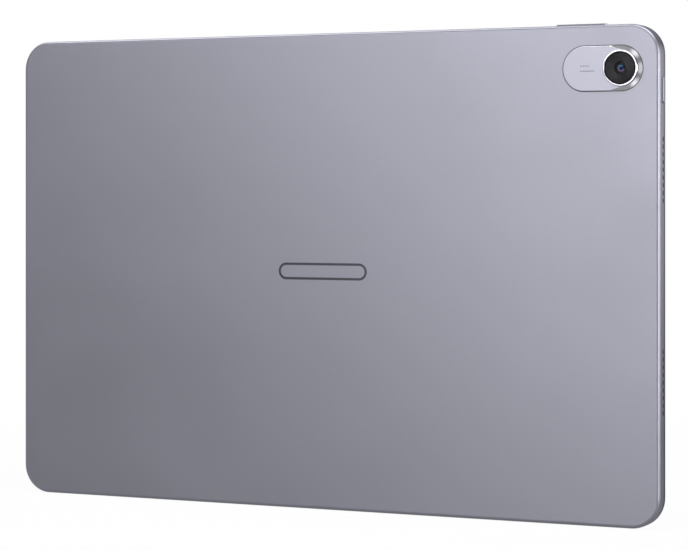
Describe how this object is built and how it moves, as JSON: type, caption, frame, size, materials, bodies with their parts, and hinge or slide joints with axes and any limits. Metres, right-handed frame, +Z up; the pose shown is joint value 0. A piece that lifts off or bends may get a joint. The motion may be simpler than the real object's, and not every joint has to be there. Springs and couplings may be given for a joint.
{
  "type": "tablet computer",
  "caption": "Slim tablet computer with a metal unibody back, raised camera plate and ring, side power button, volume rocker, slotted speakers and a USB-C port.",
  "frame": {"origin": "middle of the bottom long edge's flat face, half way through the thickness", "axes": "+X along the long side towards the USB-C end, +Y out of the metal back (the screen faces -Y), +Z up towards the volume rocker"},
  "size_m": [0.2613, 0.0083, 0.1774],
  "materials": {
    "anodised_shell": "satin anodised",
    "polished_ring": "polished",
    "camera_glass": "clear",
    "spun_black": "spun, dark",
    "black_plastic": "matte",
    "lens_glass": "coated",
    "frame_plastic": "matte",
    "foam": "matte",
    "screen_glass": "gloss, black printed border",
    "panel_glass": "dark",
    "film": "translucent white",
    "light_guide": "clear",
    "bare_steel": "bright",
    "led": "gloss",
    "circuit_board": "satin solder mask",
    "flex": "satin polyimide",
    "chip": "matte",
    "graphite": "dark sheen",
    "battery_foil": "matte black pouch",
    "tape": "matte",
    "copper": "bright",
    "gold_contact": "bright",
    "magnet": "nickel plated",
    "speaker_box": "matte",
    "diaphragm": "satin",
    "mesh": "fine dark mesh",
    "gasket_rubber": "matte",
    "antenna_plastic": "satin",
    "lead_jacket": "satin"
  },
  "bodies": {
    "chassis": {"rear_housing": "anodised_shell", "camera_plate": "anodised_shell", "camera_ring": "polished_ring", "camera_window": "camera_glass", "camera_mask": "spun_black", "camera_body": "black_plastic", "focus_magnets": "magnet", "camera_board": "circuit_board", "mid_frame": "frame_plastic", "display_gasket": "foam", "cover_glass": "screen_glass", "lcd_panel": "panel_glass", "optical_films": "film", "light_guide": "light_guide", "backlight_tray": "bare_steel", "led_strip": "led", "display_board": "circuit_board", "display_flex": "flex", "display_cable": "flex", "front_camera": "black_plastic", "light_sensor": "chip", "battery_cell_upper": "battery_foil", "battery_cell_lower": "battery_foil", "battery_board": "flex", "battery_tape": "tape", "mainboard": "circuit_board", "shield_cans": "bare_steel", "processor_chip": "chip", "board_chips": "chip", "graphite_sheet": "graphite", "board_connectors": "black_plastic", "board_screws": "bare_steel", "usb_board": "circuit_board", "usb_shell": "bare_steel", "usb_tongue": "black_plastic", "usb_contacts": "gold_contact", "usb_gasket": "gasket_rubber", "main_flex": "flex", "speaker_magnets": "magnet", "speaker_meshes": "mesh", "power_switch": "bare_steel", "volume_switches": "bare_steel", "switch_brackets": "bare_steel", "microphones": "bare_steel", "antennas": "antenna_plastic", "antenna_leads": "lead_jacket", "keyboard_magnets": "magnet", "speaker_enclosure_left_upper": "speaker_box", "speaker_enclosure_left_lower": "speaker_box", "speaker_enclosure_right_upper": "speaker_box", "speaker_enclosure_right_lower": "speaker_box"},
    "power_button": {"power_button": "anodised_shell"},
    "volume_rocker": {"volume_rocker": "anodised_shell"},
    "lens_carrier": {"lens_barrel": "black_plastic", "lens_elements": "lens_glass", "focus_coil": "copper"},
    "diaphragm_left_upper": {"speaker_diaphragm_left_upper": "diaphragm"},
    "diaphragm_left_lower": {"speaker_diaphragm_left_lower": "diaphragm"},
    "diaphragm_right_upper": {"speaker_diaphragm_right_upper": "diaphragm"},
    "diaphragm_right_lower": {"speaker_diaphragm_right_lower": "diaphragm"}
  },
  "joints": [
    {"name": "power_press", "type": "slide", "parent": "chassis", "child": "power_button", "axis": [1, 0, 0], "range_m": [0, 0.00025], "stiffness_N_per_m": 2000, "springref_m": -0.0002},
    {"name": "volume_rock", "type": "hinge", "parent": "chassis", "child": "volume_rocker", "pos_m": [-0.10052, -0.00045, 0.17427], "axis": [0, 1, 0], "range_deg": [-1.2, 1.2], "stiffness_Nm_per_rad": 0.05},
    {"name": "lens_focus", "type": "slide", "parent": "chassis", "child": "lens_carrier", "axis": [0, 1, 0], "range_m": [0, 0.0003], "stiffness_N_per_m": 100, "springref_m": -0.00005},
    {"name": "diaphragm_stroke_left_upper", "type": "slide", "parent": "chassis", "child": "diaphragm_left_upper", "axis": [0, 1, 0], "range_m": [-0.00025, 0.00025], "stiffness_N_per_m": 300},
    {"name": "diaphragm_stroke_left_lower", "type": "slide", "parent": "chassis", "child": "diaphragm_left_lower", "axis": [0, 1, 0], "range_m": [-0.00025, 0.00025], "stiffness_N_per_m": 300},
    {"name": "diaphragm_stroke_right_upper", "type": "slide", "parent": "chassis", "child": "diaphragm_right_upper", "axis": [0, 1, 0], "range_m": [-0.00025, 0.00025], "stiffness_N_per_m": 300},
    {"name": "diaphragm_stroke_right_lower", "type": "slide", "parent": "chassis", "child": "diaphragm_right_lower", "axis": [0, 1, 0], "range_m": [-0.00025, 0.00025], "stiffness_N_per_m": 300}
  ]
}
